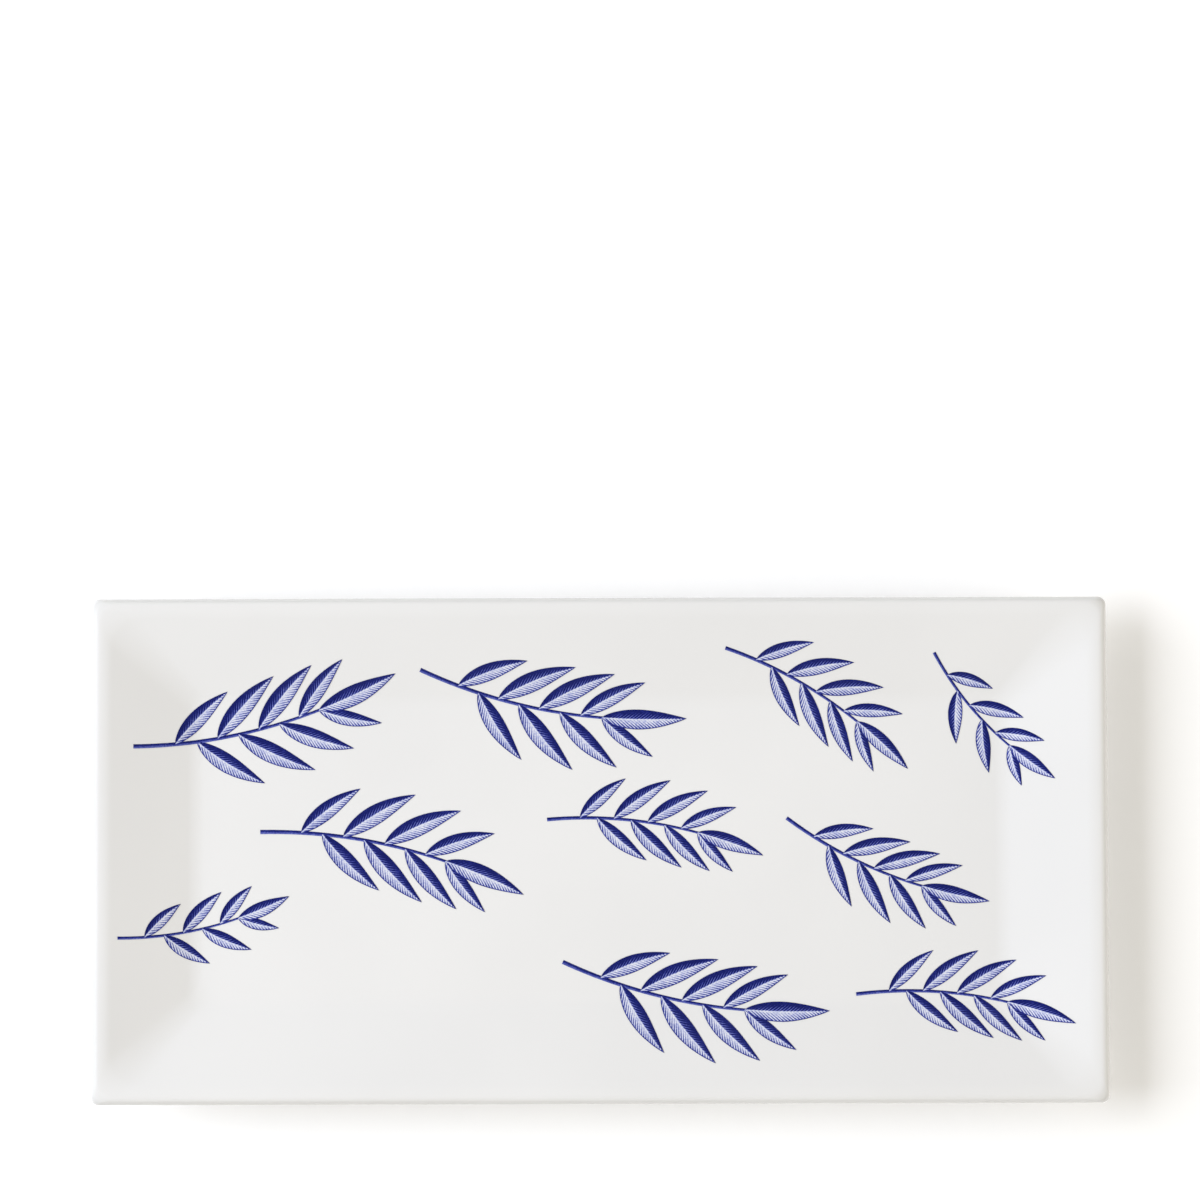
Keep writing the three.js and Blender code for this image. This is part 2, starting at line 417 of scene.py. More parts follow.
@dataclass(frozen=True)
class CobaltTransfer:
    """Engraved cobalt transfer fired into the glaze: blue lines and washes under the same gloss.

    The engraver's lines swell until they close up along the shaded margin of each leaf, and thin out towards
    the midrib and the lit half. Real engraving is finer: these lines are spaced so that they show.
    """

    skin: GlazeSkin = GlazeSkin()
    bare: InkShade = InkShade(0.05, "#dfe2ee")
    wash: InkShade = InkShade(0.25, "#a8b0dd")
    half_tone: InkShade = InkShade(0.52, "#5a65b6")
    ink: InkShade = InkShade(0.8, "#222b82")
    deep_ink: InkShade = InkShade(1.0, "#0f1860")
    line_spacing: float = 1.25 * MM
    line_slant: float = 1.25
    line_softness: float = 0.18
    line_wobble: float = 0.5
    wobble_length: float = 6 * MM
    shaded_half: ToneRange = ToneRange(beside_rib=0.42, margin=1.25, between_lines=0.5, on_lines=0.98)
    lit_half: ToneRange = ToneRange(beside_rib=-0.1, margin=0.62, between_lines=0.13, on_lines=0.74)
    half_softness: float = 0.08 * MM
    closing_towards_ends: float = 0.35
    outline: float = 0.3 * MM
    outline_ink: float = 0.85
    midrib: float = 0.3 * MM
    midrib_ink_share: float = 0.3
    midrib_fades_from: float = 0.6
    midrib_gone_at: float = 0.95
    stem_pale_side: float = -0.7
    stem_dark_side: float = 0.5
    stem_pale_ink: float = 0.55
    stem_dark_ink: float = 0.95
    stipple: float = 0.6 * MM
    stipple_depth: float = 0.11
    stipple_detail: float = 2.0
    pooling: float = 5 * MM
    pooling_depth: float = 0.05

    def ink_of_leaf(self, tree: bpy.types.NodeTree, place: bpy.types.NodeSocket) -> bpy.types.Node:
        """Add the engraving of a leaf: swelling lines inside an outline, with a paler midrib.

        Args:
            tree: The material's node tree.
            place: Object coordinates.

        Returns:
            Node that gives how much ink lies at a place, from 0 to 1.
        """
        on_stroke = add(tree, ATTRIBUTE, attribute_name="print_place").outputs["Vector"]
        look = add(tree, ATTRIBUTE, attribute_name="print_look").outputs["Vector"]
        along, across, half_width = add(tree, SPLIT, on_stroke).outputs
        share, seed, shaded_side = add(tree, SPLIT, look).outputs
        out = add(tree, MATH, across, operation="ABSOLUTE")
        from_rib = add(tree, MATH, out, half_width, operation="DIVIDE")
        into_shade = add(tree, MATH, across, shaded_side, operation="MULTIPLY")
        shaded = add(
            tree, RANGE, into_shade, -self.half_softness, self.half_softness, 0.0, 1.0,
            interpolation_type="SMOOTHSTEP",
        )
        shaded_tones = asdict(self.shaded_half)
        tones = {
            name: add(tree, RANGE, shaded, 0.0, 1.0, lit_tone, shaded_tones[name])
            for name, lit_tone in asdict(self.lit_half).items()
        }
        swelling = add(tree, RANGE, from_rib, 0.0, 1.0, tones["beside_rib"], tones["margin"])
        from_middle = add(tree, MATH, share, 2.0, -1.0, operation="MULTIPLY_ADD")
        towards_ends = add(tree, MATH, from_middle, 2.0, operation="POWER")
        line_share = add(
            tree, MATH, towards_ends, self.closing_towards_ends, swelling, operation="MULTIPLY_ADD",
        )
        wander = add(tree, NOISE, named={"Vector": place, "Scale": 1 / self.wobble_length})
        swept = add(tree, MATH, out, -self.line_slant, along, operation="MULTIPLY_ADD")
        counted = add(tree, MATH, swept, 1 / self.line_spacing, seed, operation="MULTIPLY_ADD")
        wobbled = add(tree, MATH, wander, self.line_wobble, counted, operation="MULTIPLY_ADD")
        # A line lies at every whole number, so twice the distance to it is 0 on a line and 1 between two.
        to_line = add(tree, MATH, wobbled, 0.5, operation="PINGPONG")
        off_line = add(tree, MATH, to_line, 2.0, operation="MULTIPLY")
        line_inside = add(tree, MATH, line_share, self.line_softness, operation="SUBTRACT")
        line_outside = add(tree, MATH, line_share, self.line_softness, operation="ADD")
        engraved = add(
            tree, RANGE, off_line, line_inside, line_outside, tones["on_lines"], tones["between_lines"],
        )
        from_edge = add(tree, MATH, half_width, out, operation="SUBTRACT")
        edge = add(tree, RANGE, from_edge, 0.5 * self.outline, 1.5 * self.outline, self.outline_ink, 0.0)
        outlined = add(tree, MATH, engraved, edge, operation="MAXIMUM")
        rib = add(tree, RANGE, out, 0.5 * self.midrib, self.midrib, self.midrib_ink_share, 1.0)
        fading = add(tree, RANGE, share, self.midrib_fades_from, self.midrib_gone_at, 0.0, 1.0)
        ribbed = add(tree, MATH, rib, fading, operation="MAXIMUM")
        return add(tree, MATH, outlined, ribbed, operation="MULTIPLY")

    def ink_of_stem(self, tree: bpy.types.NodeTree) -> bpy.types.Node:
        """Add the engraving of a stem: a dark line with a paler side.

        Args:
            tree: The material's node tree.

        Returns:
            Node that gives how much ink lies at a place, from 0 to 1.
        """
        on_stroke = add(tree, ATTRIBUTE, attribute_name="print_place").outputs["Vector"]
        _, across, half_width = add(tree, SPLIT, on_stroke).outputs
        side = add(tree, MATH, across, half_width, operation="DIVIDE")
        return add(
            tree, RANGE, side,
            self.stem_pale_side, self.stem_dark_side, self.stem_pale_ink, self.stem_dark_ink,
            interpolation_type="SMOOTHSTEP",
        )

    def material(self, part: PrintPart) -> bpy.types.Material:
        """Build the finish for one part of a sprig.

        Args:
            part: Leaf or stem.

        Returns:
            Cobalt print under glaze.
        """
        material, tree = new_material(part.value)
        place = add(tree, COORDINATES).outputs["Object"]
        rough, bumped = self.skin.unevenness(tree, place)
        drawn = self.ink_of_leaf(tree, place) if part is PrintPart.LEAF else self.ink_of_stem(tree)
        stipple = add(
            tree, NOISE, named={"Vector": place, "Scale": 1 / self.stipple, "Detail": self.stipple_detail},
        )
        grain = add(tree, RANGE, stipple, NOISE_LOW, NOISE_HIGH, -self.stipple_depth, self.stipple_depth)
        pools = add(tree, NOISE, named={"Vector": place, "Scale": 1 / self.pooling})
        pooled = add(tree, RANGE, pools, NOISE_LOW, NOISE_HIGH, -self.pooling_depth, self.pooling_depth)
        patchy = add(tree, MATH, grain, pooled, operation="ADD")
        inked = add(tree, MATH, drawn, patchy, operation="ADD")
        ramp = add(tree, "ShaderNodeValToRGB", inked)
        shades = (self.bare, self.wash, self.half_tone, self.ink, self.deep_ink)
        stops = ramp.color_ramp.elements
        # A new ramp has its two end stops already.
        for shade in shades[1:-1]:
            stops.new(shade.amount)
        for stop, shade in zip(stops, shades):
            stop.position = shade.amount
            stop.color = linear(shade.colour)
        self.skin.coat(tree, ramp, rough, bumped)
        return material


@dataclass(frozen=True)
class SectionCorner:
    """Corner of the tray's section: distance in from the rim's edge, height and rounding."""

    inset: float
    height: float
    radius: float


@dataclass
class TrayBody:
    """One casting: flat well, four sloping sides mitred at the corners, crowned rim and foot ring.

    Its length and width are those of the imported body.
    """

    node: str = "tray_body"
    length: float = field(init=False)
    width: float = field(init=False)
    slope_width: float = 36 * MM
    rim_corner_radius: float = 3 * MM
    slope_corner_radius: float = 10 * MM
    well_corner_radius: float = 5 * MM
    floor_thickness: float = 5 * MM
    wall_thickness: float = 5.8 * MM
    slope_pitch: float = math.radians(16.5)
    crease_radius: float = 22 * MM
    crown_radius: float = 15 * MM
    lip_radius: float = 3 * MM
    lip_under_radius: float = 1.1 * MM
    foot_height: float = 6 * MM
    foot_setback: float = 8 * MM
    foot_width: float = 6.5 * MM
    foot_draft: float = 0.6 * MM
    foot_root_radius: float = 2.5 * MM
    foot_toe_radius: float = 1.2 * MM
    arc_points: int = 14
    corner_steps: int = 12
    end_steps: int = 24
    side_steps: int = 48

    def __post_init__(self) -> None:
        """Take the plan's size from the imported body."""
        low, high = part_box(self.node)
        self.length = high.x - low.x
        self.width = high.y - low.y

    def section(self) -> list[SectionCorner]:
        """Work out the section, from the middle of the well out over the rim and back under to the middle.

        Returns:
            The corners in order; those on a straight run have no rounding.
        """
        middle = self.width / 2
        rise = math.tan(self.slope_pitch)
        floor_top = self.foot_height + self.floor_thickness
        slope_top = floor_top + self.slope_width * rise
        crown_inset = self.lip_radius + self.crown_radius * math.tan(self.slope_pitch / 2)
        rim_top = slope_top - crown_inset * rise
        rim_under = slope_top - self.wall_thickness / math.cos(self.slope_pitch)
        under_crease = (rim_under - self.foot_height) / rise
        foot_outer = under_crease + self.foot_setback
        foot_inner = foot_outer + self.foot_width
        return [
            SectionCorner(middle, floor_top, 0.0),
            SectionCorner(0.5 * (middle + self.slope_width), floor_top, 0.0),
            SectionCorner(self.slope_width, floor_top, self.crease_radius),
            SectionCorner(0.5 * self.slope_width, floor_top + 0.5 * self.slope_width * rise, 0.0),
            SectionCorner(crown_inset, rim_top, self.crown_radius),
            SectionCorner(0.0, rim_top, self.lip_radius),
            SectionCorner(0.0, rim_under, self.lip_under_radius),
            SectionCorner(0.5 * under_crease, 0.5 * (rim_under + self.foot_height), 0.0),
            SectionCorner(under_crease, self.foot_height, self.crease_radius),
            SectionCorner(foot_outer, self.foot_height, self.foot_root_radius),
            SectionCorner(foot_outer + self.foot_draft, 0.0, self.foot_toe_radius),
            SectionCorner(foot_inner - self.foot_draft, 0.0, self.foot_toe_radius),
            SectionCorner(foot_inner, self.foot_height, self.foot_root_radius),
            SectionCorner(0.5 * (foot_inner + middle), self.foot_height, 0.0),
            SectionCorner(middle, self.foot_height, 0.0),
        ]

    def plan(self) -> tuple[list[Place], list[Place]]:
        """Work out one turn round a rounded rectangle, as shares that a ring of any size can use.

        Returns:
            For each point, its corner centre as shares of the half sizes, and its direction from there.
        """
        centres: list[Place] = []
        outward: list[Place] = []
        turn = [(1, 1), (-1, 1), (-1, -1), (1, -1)]
        for quarter, (x, y) in enumerate(turn):
            for step in range(self.corner_steps + 1):
                angle = (quarter + step / self.corner_steps) * math.pi / 2
                centres.append((x, y, 0.0))
                outward.append((math.cos(angle), math.sin(angle), 0.0))
            next_x, next_y = turn[(quarter + 1) % len(turn)]
            steps = self.side_steps if quarter % 2 == 0 else self.end_steps
            for step in range(1, steps):
                share = step / steps
                centres.append((x + (next_x - x) * share, y + (next_y - y) * share, 0.0))
                outward.append(outward[-1])
        return centres + centres[:1], outward + outward[:1]

    @staticmethod
    def core_of_ring(
        tree: bpy.types.NodeTree,
        size: Mapping[str, bpy.types.NodeSocket],
        inset: bpy.types.NodeSocket,
    ) -> tuple[bpy.types.Node, bpy.types.Node]:
        """Add the sizes of the ring that lies a given distance in from the rim's edge.

        The corner radius opens from the rim to the crown's end and closes again towards the well.

        Args:
            tree: The geometry tree.
            size: The tree's named inputs.
            inset: Distance in from the rim's edge.

        Returns:
            The node for how far the corner centres lie from the middle, and the node for the corner radius.
        """
        opening = add(
            tree, RANGE, inset, 0.0, size["Crown start"], size["Rim radius"], size["Slope radius"],
        )
        closing = add(
            tree, RANGE, inset, size["Crown start"], size["Slope width"],
            size["Slope radius"], size["Well radius"],
        )
        rounded = add(tree, MATH, opening, closing, operation="MINIMUM")
        half_length = add(tree, MATH, size["Length"], 0.5, operation="MULTIPLY")
        half_width = add(tree, MATH, size["Width"], 0.5, operation="MULTIPLY")
        inner_x = add(tree, MATH, half_length, inset, operation="SUBTRACT")
        inner_y = add(tree, MATH, half_width, inset, operation="SUBTRACT")
        radius = add(tree, MATH, rounded, inner_y, operation="MINIMUM")
        core = add(
            tree, JOIN,
            add(tree, MATH, inner_x, radius, operation="SUBTRACT"),
            add(tree, MATH, inner_y, radius, operation="SUBTRACT"),
        )
        return core, radius

    def loft_tree(self) -> bpy.types.NodeTree:
        """Build the tree that carries the rounded section round the plan.

        Returns:
            Geometry tree that works on the plan's points.
        """
        tree, given = new_tree("tray_loft", {
            "Section": "Object", "Arc points": "Int", "Length": "Float", "Width": "Float",
            "Rim radius": "Float", "Slope radius": "Float", "Well radius": "Float",
            "Crown start": "Float", "Slope width": "Float", "Finish": "Material",
        })
        size = given.outputs
        place = add(tree, POSITION)
        drawn = add(tree, OBJECT_INFO, size["Section"]).outputs["Geometry"]
        line = add(tree, "GeometryNodeMeshToCurve", drawn)
        rounding = add(tree, SPLIT, add(tree, NAMED, "rounding", data_type="FLOAT_VECTOR")).outputs["X"]
        section = add(
            tree, "GeometryNodeFilletCurve", line, size["Arc points"], rounding, True, mode="POLY",
        )
        section_count = add(tree, COUNT, section, component="CURVE").outputs["Point Count"]
        plan_count = add(tree, COUNT, size["Start"], component="MESH").outputs["Point Count"]
        rows = add(tree, MATH, section_count, 1.0, operation="SUBTRACT")
        columns = add(tree, MATH, plan_count, 1.0, operation="SUBTRACT")
        # The sheet's points lie one unit apart, so a point's own place counts its column and its row.
        sheet = add(tree, GRID, columns, rows, plan_count, section_count)
        sheet_x, sheet_y, _ = add(tree, SPLIT, place).outputs
        from_first_column = add(tree, MATH, columns, 0.5, sheet_x, operation="MULTIPLY_ADD")
        from_first_row = add(tree, MATH, rows, 0.5, sheet_y, operation="MULTIPLY_ADD")
        column = add(tree, MATH, from_first_column, operation="ROUND")
        row = add(tree, MATH, from_first_row, operation="ROUND")
        sampled = {"data_type": "FLOAT_VECTOR", "domain": "POINT"}
        outward = add(tree, NAMED, "outward", data_type="FLOAT_VECTOR")
        corner = add(tree, SAMPLE, section, place, row, **sampled)
        centre = add(tree, SAMPLE, size["Start"], place, column, **sampled)
        way = add(tree, SAMPLE, size["Start"], outward, column, **sampled)
        inset, _, height = add(tree, SPLIT, corner).outputs
        core, radius = self.core_of_ring(tree, size, inset)
        reach = add(tree, VECTOR, way, radius, operation="SCALE")
        flat = add(tree, VECTOR, centre, core, reach, operation="MULTIPLY_ADD")
        raised = add(tree, VECTOR, flat, add(tree, JOIN, 0.0, 0.0, height), operation="ADD")
        noted = add(tree, STORE, sheet, None, "rim_inset", inset, data_type="FLOAT", domain="POINT")
        lofted = add(tree, SET_POSITION, noted, None, raised)
        closed = add(tree, MERGE, lofted, None, MERGE_DISTANCE)
        turned_out = add(tree, FLIP, closed)
        smooth = add(tree, "GeometryNodeSetShadeSmooth", turned_out)
        whole = add(tree, REALIZE, smooth)
        finished = add(tree, SET_MATERIAL, whole, None, size["Finish"])
        add(tree, "NodeGroupOutput", finished)
        return tree

    def build(self, finish: GlazedPorcelain) -> bpy.types.Object:
        """Build and dress the tray.

        Args:
            finish: The porcelain and its glaze.

        Returns:
            The finished tray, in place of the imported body.
        """
        corners = self.section()
        line = [(corner.inset, 0.0, corner.height) for corner in corners]
        runs = [(number, number + 1) for number in range(len(line) - 1)]
        section = new_piece("section_line", line, runs)
        write_field(section, "rounding", [(corner.radius, 0.0, 0.0) for corner in corners])
        centres, outward = self.plan()
        tray = new_piece("porcelain_tray", centres)
        write_field(tray, "outward", outward)
        grow(tray, self.loft_tree(), {
            "Section": section, "Arc points": self.arc_points, "Length": self.length, "Width": self.width,
            "Rim radius": self.rim_corner_radius, "Slope radius": self.slope_corner_radius,
            "Well radius": self.well_corner_radius, "Slope width": self.slope_width,
            "Crown start": self.lip_radius + self.crown_radius * math.sin(self.slope_pitch),
            "Finish": finish.material(),
        })
        bpy.data.objects.remove(section)
        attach(tray, "root")
        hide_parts(self.node)
        return tray


@dataclass(frozen=True)
class SprigMeasure:
    """Sizes of one sprig."""

    stem_length: float
    leaf_length: float
    leaf_width: float
    stem_width: float
    leaf_count: int


class SprigSize(Enum):
    """Sprigs of the three sizes that the print uses."""

    LARGE = SprigMeasure(72 * MM, 30 * MM, 7 * MM, 1.5 * MM, 8)
    MEDIUM = SprigMeasure(58 * MM, 24.5 * MM, 5.7 * MM, 1.3 * MM, 8)
    SMALL = SprigMeasure(46 * MM, 19.5 * MM, 5.2 * MM, 1.1 * MM, 6)


class Bow(Enum):
    """Side that a stem bends to, looking from its foot to its tip."""

    LEFT = 1
    RIGHT = -1


@dataclass
class Stroke:
    """Leaf or stem of a sprig: an arc in plan and its widest half width."""

    start: Vector
    heading: float
    turn: float
    length: float
    half_width: float
    is_stem: bool = False

    def point(self, share: float) -> Vector:
        """Find a place on the arc.

        Args:
            share: Share of the way along, from 0 to 1.

        Returns:
            The place in plan.
        """
        half_turn = self.turn * share / 2
        chord = self.length * share
        if half_turn:
            chord *= math.sin(half_turn) / half_turn
        towards = self.heading + half_turn
        return self.start + chord * Vector((math.cos(towards), math.sin(towards)))

    def shaded_side(self) -> float:
        """Give 1 where the left half is the far one, which is shaded, and -1 where the right half is."""
        return 1.0 if math.cos(self.heading + self.turn / 2) >= 0 else -1.0


@dataclass
class SprigPrint:
    """One sprig transfer: alternate leaves up a bowed stem, and one leaf at its end.

    Its middle is placed along and across the tray as shares of the half length and the half width.
    """

    node: str
    size: SprigSize
    along: float
    across: float
    heading_degrees: float
    bow: Bow
    stem_bow: float = math.radians(22)
    low_leaf_angle: float = math.radians(50)
    high_leaf_angle: float = math.radians(40)
    leaf_curl: float = math.radians(16)
    lowest_leaf_share: float = 0.2
    highest_leaf_share: float = 0.92
    shortest_leaf_share: float = 0.68
    film_lift: float = 0.04 * MM
    film_thickness: float = 0.06 * MM
    overlap_step: float = 0.004 * MM
    line_shift: float = 0.37
    points_along: int = 29
    points_across: int = 11

    def strokes_from(self, start: Vector) -> list[Stroke]:
        """Work out the strokes of the sprig.

        Args:
            start: Foot of the stem in plan.

        Returns:
            The stem, the leaves from the lowest up, and the end leaf.
        """
        measure = self.size.value
        turn = self.bow.value * self.stem_bow
        heading = math.radians(self.heading_degrees) - turn / 2
        stem = Stroke(start, heading, turn, measure.stem_length, measure.stem_width / 2, is_stem=True)
        strokes = [stem]
        reach = self.highest_leaf_share - self.lowest_leaf_share
        for place in range(measure.leaf_count):
            share = self.lowest_leaf_share + reach * place / (measure.leaf_count - 1)
            side = 1 if place % 2 == 0 else -1
            splay = self.low_leaf_angle + (self.high_leaf_angle - self.low_leaf_angle) * share
            growth = self.shortest_leaf_share + (1 - self.shortest_leaf_share) * math.sin(math.pi * share)
            strokes.append(Stroke(
                stem.point(share), heading + turn * share + side * splay, -side * self.leaf_curl,
                measure.leaf_length * growth, measure.leaf_width * growth / 2,
            ))
        end = self.highest_leaf_share
        strokes.append(Stroke(
            stem.point(end), heading + turn * end, self.bow.value * self.leaf_curl / 2,
            measure.leaf_length, measure.leaf_width / 2,
        ))
        return strokes

    def build(
        self,
        number: int,
        tray: bpy.types.Object,
        tree: bpy.types.NodeTree,
        finishes: Mapping[PrintPart, bpy.types.Material],
    ) -> bpy.types.Object:
        """Build and dress the sprig on the tray's face.

        Args:
            number: The sprig's place in the print, which shifts its engraved lines from the others'.
            tray: The finished tray.
            tree: The tree that lays strokes on a face.
            finishes: Materials of the leaf and the stem.

        Returns:
            The finished print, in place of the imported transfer.
        """
        _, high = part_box("tray_body")
        middle = Vector((self.along * high.x, self.across * high.y))
        tip = self.strokes_from(Vector((0.0, 0.0)))[-1].point(1.0)
        strokes = self.strokes_from(middle - 0.5 * tip)
        starts = [(*stroke.start, high.z) for stroke in strokes]
        sprig = new_piece(f"leaf_sprig_{number:02d}", starts)
        write_field(sprig, "stroke_start", starts)
        write_field(sprig, "stroke_run", [(stroke.heading, stroke.turn, stroke.length) for stroke in strokes])
        kinds = []
        shades = []
        for layer, stroke in enumerate(strokes):
            lift = self.film_lift + self.overlap_step * layer
            kinds.append((stroke.half_width, float(stroke.is_stem), lift))
            shades.append((self.line_shift * (number + layer), stroke.shaded_side(), 0.0))
        write_field(sprig, "stroke_kind", kinds)
        write_field(sprig, "stroke_shade", shades)
        grow(sprig, tree, {
            "Face": tray, "Points along": self.points_along, "Points across": self.points_across,
            "Film thickness": self.film_thickness,
            "Leaf finish": finishes[PrintPart.LEAF], "Stem finish": finishes[PrintPart.STEM],
        })
        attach(sprig, "root")
        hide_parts(self.node)
        return sprig


@dataclass(frozen=True)
class StrokeTree:
    """Tree that lays leaves and stems on a face as thin closed films.

    It notes on each point where the point lies on its stroke, for the print finishes to read.
    """

    leaf_widest_power: float = 0.8
    leaf_fullness_power: float = 0.9
    stem_taper: float = 0.4
    drop: float = 60 * MM

    def half_width(
        self,
        tree: bpy.types.NodeTree,
        share: bpy.types.Node,
        is_stem: bpy.types.NodeSocket,
        widest: bpy.types.NodeSocket,
    ) -> bpy.types.Node:
        """Add the half width along a stroke: a leaf bulges and a stem tapers.

        Args:
            tree: The geometry tree.
            share: Share of the way along the stroke.
            is_stem: 1 on a stem and 0 on a leaf.
            widest: The stroke's widest half width.

        Returns:
            Node for the half width.
        """
        eased = add(tree, MATH, share, self.leaf_widest_power, operation="POWER")
        swing = add(tree, MATH, eased, math.pi, operation="MULTIPLY")
        bulge = add(tree, MATH, swing, operation="SINE")
        at_least_none = add(tree, MATH, bulge, 0.0, operation="MAXIMUM")
        rounded = add(tree, MATH, at_least_none, self.leaf_fullness_power, operation="POWER")
        tapered = add(tree, RANGE, share, 0.0, 1.0, 1.0, 1.0 - self.stem_taper)
        shape = add(tree, MIX, is_stem, rounded, tapered, data_type="FLOAT")
        return add(tree, MATH, shape, widest, operation="MULTIPLY")

    @staticmethod
    def closed_film(
        tree: bpy.types.NodeTree,
        laid: bpy.types.Node,
        thickness: bpy.types.NodeSocket,
    ) -> bpy.types.Node:
        """Add the steps that turn a sheet into a closed film.

        Args:
            tree: The geometry tree.
            laid: The sheet.
            thickness: Thickness of the film.

        Returns:
            Node for the film.
        """
        raised = add(
            tree, "GeometryNodeExtrudeMesh", laid, None, (0.0, 0.0, 1.0), thickness, False, mode="FACES",
        )
        under = add(tree, FLIP, laid)
        both = add(tree, "GeometryNodeJoinGeometry", raised.outputs["Mesh"])
        tree.links.new(under.outputs[0], both.inputs[0])
        return add(tree, MERGE, both, None, MERGE_DISTANCE)

    def build(self) -> bpy.types.NodeTree:
        """Build the tree.

        Returns:
            Geometry tree that works on one point for each stroke.
        """
        tree, given = new_tree("leaf_strokes", {
            "Face": "Object", "Points along": "Int", "Points across": "Int", "Film thickness": "Float",
            "Leaf finish": "Material", "Stem finish": "Material",
        })
        size = given.outputs
        noted = {"data_type": "FLOAT_VECTOR", "domain": "POINT"}
        # The sheet runs from -1/2 to 1/2 along the stroke and from -1 to 1 across it.
        unit = add(tree, GRID, 1.0, 2.0, size["Points along"], size["Points across"])
        gridded = add(tree, STORE, unit, None, "stroke_grid", add(tree, POSITION), **noted)
        scattered = add(tree, "GeometryNodeInstanceOnPoints", size["Start"], None, gridded)
        spread = add(tree, REALIZE, scattered)
        fields = {
            name: add(tree, SPLIT, add(tree, NAMED, name, data_type="FLOAT_VECTOR")).outputs
            for name in ("stroke_grid", "stroke_start", "stroke_run", "stroke_kind", "stroke_shade")
        }
        grid_x, side, _ = fields["stroke_grid"]
        start_x, start_y, above = fields["stroke_start"]
        heading, turn, length = fields["stroke_run"]
        widest, is_stem, lift = fields["stroke_kind"]
        seed, shaded_side, _ = fields["stroke_shade"]
        share = add(tree, MATH, grid_x, 0.5, operation="ADD")
        turned = add(tree, MATH, turn, share, operation="MULTIPLY")
        half_turn = add(tree, MATH, turned, 0.5, operation="MULTIPLY")
        half_sine = add(tree, MATH, half_turn, operation="SINE")
        bend = add(tree, MATH, half_sine, half_turn, operation="DIVIDE")
        along = add(tree, MATH, length, share, operation="MULTIPLY")
        chord = add(tree, MATH, along, bend, operation="MULTIPLY")
        towards = add(tree, MATH, heading, half_turn, operation="ADD")
        towards_x = add(tree, MATH, towards, operation="COSINE")
        towards_y = add(tree, MATH, towards, operation="SINE")
        middle_x = add(tree, MATH, towards_x, chord, start_x, operation="MULTIPLY_ADD")
        middle_y = add(tree, MATH, towards_y, chord, start_y, operation="MULTIPLY_ADD")
        half_width = self.half_width(tree, share, is_stem, widest)
        across = add(tree, MATH, side, half_width, operation="MULTIPLY")
        back_across = add(tree, MATH, across, -1.0, operation="MULTIPLY")
        faces = add(tree, MATH, heading, turned, operation="ADD")
        faces_x = add(tree, MATH, faces, operation="COSINE")
        faces_y = add(tree, MATH, faces, operation="SINE")
        x = add(tree, MATH, faces_y, back_across, middle_x, operation="MULTIPLY_ADD")
        y = add(tree, MATH, faces_x, across, middle_y, operation="MULTIPLY_ADD")
        face = add(tree, OBJECT_INFO, size["Face"]).outputs["Geometry"]
        landed = add(
            tree, "GeometryNodeRaycast",
            named={
                "Target Geometry": face, "Source Position": add(tree, JOIN, x, y, above),
                "Ray Direction": (0.0, 0.0, -1.0), "Ray Length": self.drop,
            },
        )
        place = add(tree, JOIN, along, across, half_width)
        look = add(tree, JOIN, share, seed, shaded_side)
        placed = add(tree, STORE, spread, None, "print_place", place, **noted)
        dressed = add(tree, STORE, placed, None, "print_look", look, **noted)
        lifted = add(tree, JOIN, 0.0, 0.0, lift)
        laid = add(tree, SET_POSITION, dressed, None, landed.outputs["Hit Position"], lifted)
        film = self.closed_film(tree, laid, size["Film thickness"])
        whole = add(tree, REALIZE, film)
        leafy = add(tree, SET_MATERIAL, whole, None, size["Leaf finish"])
        stemmed = add(tree, SET_MATERIAL, leafy, is_stem, size["Stem finish"])
        add(tree, "NodeGroupOutput", stemmed)
        return tree


# Node, size, share along, share across, heading and bow of each sprig.
SPRIGS = (
    SprigPrint("sprig_transfer_01", SprigSize.LARGE, -0.66, 0.56, 12, Bow.LEFT),
    SprigPrint("sprig_transfer_02", SprigSize.LARGE, -0.41, -0.05, -10, Bow.RIGHT),
    SprigPrint("sprig_transfer_03", SprigSize.SMALL, -0.78, -0.26, 10, Bow.LEFT),
    SprigPrint("sprig_transfer_04", SprigSize.LARGE, -0.09, 0.62, -14, Bow.LEFT),
    SprigPrint("sprig_transfer_05", SprigSize.MEDIUM, 0.11, 0.05, -6, Bow.RIGHT),
    SprigPrint("sprig_transfer_06", SprigSize.MEDIUM, 0.43, 0.56, -30, Bow.RIGHT),
    SprigPrint("sprig_transfer_07", SprigSize.LARGE, 0.19, -0.54, -14, Bow.LEFT),
    SprigPrint("sprig_transfer_08", SprigSize.MEDIUM, 0.57, -0.04, -26, Bow.LEFT),
    SprigPrint("sprig_transfer_09", SprigSize.SMALL, 0.78, 0.53, -50, Bow.LEFT),
    SprigPrint("sprig_transfer_10", SprigSize.MEDIUM, 0.72, -0.63, -4, Bow.RIGHT),
)


